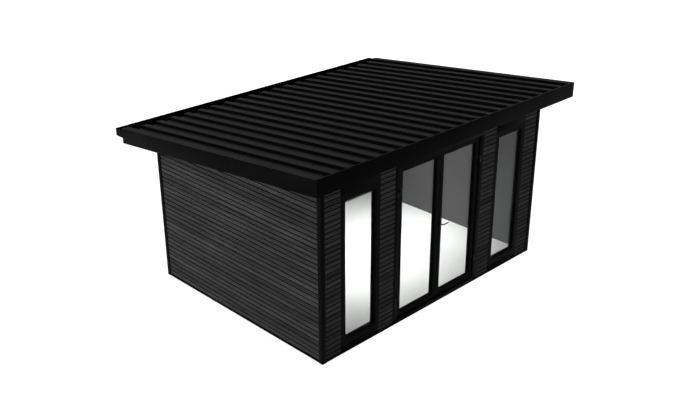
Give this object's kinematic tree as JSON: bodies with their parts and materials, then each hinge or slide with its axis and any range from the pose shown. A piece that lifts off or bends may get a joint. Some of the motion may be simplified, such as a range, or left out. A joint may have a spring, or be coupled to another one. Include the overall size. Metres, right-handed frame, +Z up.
{
  "type": "garden room shed",
  "caption": "Black clad garden room with a single-slope ribbed roof, wide eaves, glazed double doors and tall side windows in the front wall.",
  "frame": {"origin": "centre of the overall footprint at ground level, under the floor", "axes": "+X along the front wall to the right as seen from outside, +Y from the front to the back, +Z up"},
  "size_m": [4.68, 3.77, 2.5],
  "materials": {
    "floor": "matt pale floor lining",
    "wall_panel": "matt grey lining",
    "cladding": "matt charcoal boards with a light grain",
    "trim": "satin black",
    "frame": "satin black",
    "glass": "clear double glazing",
    "deck": "plain panel",
    "sheet": "satin black coated sheet",
    "fascia": "satin black",
    "soffit": "matt black",
    "gutter": "satin black",
    "hardware": "satin black"
  },
  "bodies": {
    "shell": {"floor_deck": "floor", "base_trim_front": "trim", "base_trim_back": "trim", "base_trim_left": "trim", "base_trim_right": "trim", "wall_left": "wall_panel", "wall_right": "wall_panel", "wall_back": "wall_panel", "front_pier_left": "wall_panel", "front_pier_mid_left": "wall_panel", "front_pier_mid_right": "wall_panel", "front_pier_right": "wall_panel", "front_header": "wall_panel", "cladding_left": "cladding", "cladding_right": "cladding", "cladding_back": "cladding", "cladding_front": "cladding", "corner_trim_front_left": "trim", "corner_trim_front_right": "trim", "corner_trim_back_left": "trim", "corner_trim_back_right": "trim", "window_sill_left": "trim", "window_sill_right": "trim", "window_head_left": "trim", "window_head_right": "trim", "window_frame_left": "frame", "window_frame_right": "frame", "window_glass_left": "glass", "window_glass_right": "glass", "door_jamb_left": "frame", "door_jamb_right": "frame", "door_head": "frame", "door_head_panel": "trim", "door_threshold": "frame", "hinge_fixed_left": "hardware", "hinge_fixed_right": "hardware", "roof_deck": "deck", "roof_sheet": "sheet", "verge_cap_left": "sheet", "verge_cap_right": "sheet", "fascia_front": "fascia", "fascia_back": "fascia", "fascia_left": "fascia", "fascia_right": "fascia", "soffit_front": "soffit", "soffit_back": "soffit", "soffit_left": "soffit", "soffit_right": "soffit", "gutter": "gutter", "gutter_brackets": "gutter"},
    "left_door": {"door_leaf_left": "frame", "door_glass_left": "glass", "hinge_moving_left": "hardware"},
    "right_door": {"door_leaf_right": "frame", "door_glass_right": "glass", "hinge_moving_right": "hardware", "handle_plates": "hardware"},
    "lever": {"door_lever": "hardware"}
  },
  "joints": [
    {"name": "left_door_hinge", "type": "hinge", "parent": "shell", "child": "left_door", "pos_m": [-0.749, -1.597, 0.36], "axis": [0, 0, -1], "range_deg": [0, 100]},
    {"name": "right_door_hinge", "type": "hinge", "parent": "shell", "child": "right_door", "pos_m": [0.749, -1.597, 0.36], "axis": [0, 0, 1], "range_deg": [0, 100]},
    {"name": "lever_pivot", "type": "hinge", "parent": "right_door", "child": "lever", "pos_m": [0.038, -1.545, 1.1], "axis": [0, 1, 0], "range_deg": [0, 40], "stiffness_Nm_per_rad": 1.5, "springref_deg": -22.92}
  ]
}
